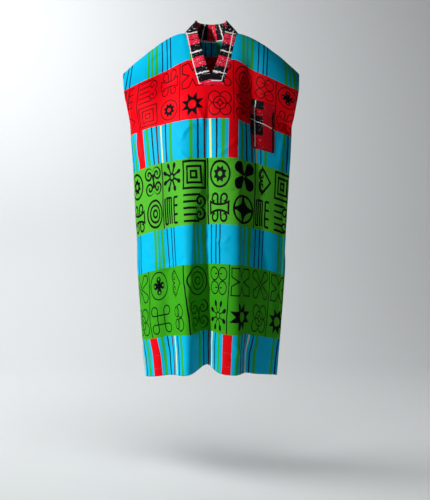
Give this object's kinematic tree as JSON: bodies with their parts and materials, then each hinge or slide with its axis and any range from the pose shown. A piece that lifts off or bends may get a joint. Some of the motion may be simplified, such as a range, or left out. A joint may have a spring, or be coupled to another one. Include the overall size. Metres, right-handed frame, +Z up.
{
  "type": "dashiki kaftan",
  "caption": "Straight-cut knee-length kaftan of printed cotton with short cut-in sleeves, a banded V neck and a chest patch pocket, hollow as worn.",
  "frame": {"origin": "midway between the two points where the shoulder seams meet the neckline, level with them", "axes": "+Z up as worn, -Y out of the front, +X towards the wearer's left"},
  "size_m": [0.592, 0.2588, 1.2041],
  "materials": {
    "printed_cotton": "crisp printed cotton with a slight sheen",
    "band_cotton": "black, red and white printed cotton",
    "pocket_cotton": "black, red and white printed cotton"
  },
  "bodies": {
    "root": {"front": "printed_cotton", "back": "printed_cotton", "neck_band_left": "band_cotton", "neck_band_right": "band_cotton", "neck_band_back": "band_cotton", "pocket": "pocket_cotton"}
  },
  "joints": []
}
